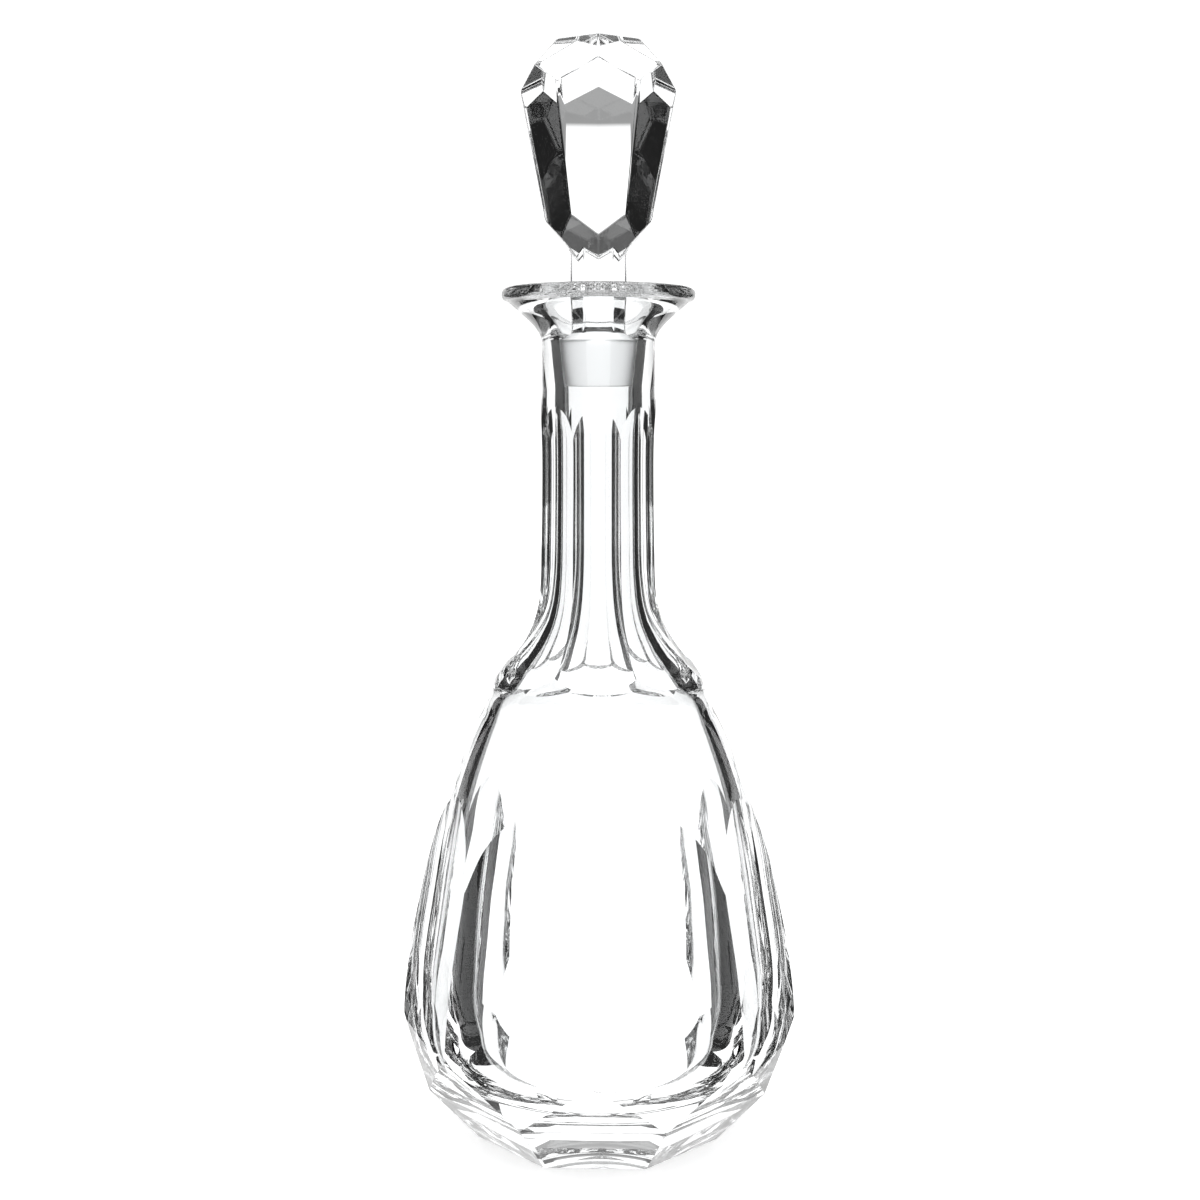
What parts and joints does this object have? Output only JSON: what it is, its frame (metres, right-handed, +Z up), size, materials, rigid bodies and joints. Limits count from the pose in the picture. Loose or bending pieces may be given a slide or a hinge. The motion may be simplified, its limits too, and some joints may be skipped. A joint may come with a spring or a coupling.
{
  "type": "decanter",
  "caption": "Tall cut crystal decanter with a fluted neck, arched belly panels, bevelled foot and a lift-out faceted stopper.",
  "frame": {"origin": "centre of the flat foot, on the surface the decanter stands on", "axes": "+Z up along the axis of the decanter and its stopper; an upright ridge of the body faces -Y, the front"},
  "size_m": [0.1224, 0.1224, 0.33],
  "materials": {
    "body_crystal": "clear lead crystal, cut and polished",
    "stopper_crystal": "clear lead crystal, cut and polished, with a ground frosted plug"
  },
  "bodies": {
    "decanter": {"decanter_body": "body_crystal"},
    "stopper": {"stopper": "stopper_crystal"}
  },
  "joints": [
    {"name": "stopper_lift", "type": "slide", "parent": "decanter", "child": "stopper", "axis": [0, 0, 1], "range_m": [0, 0.06]}
  ]
}
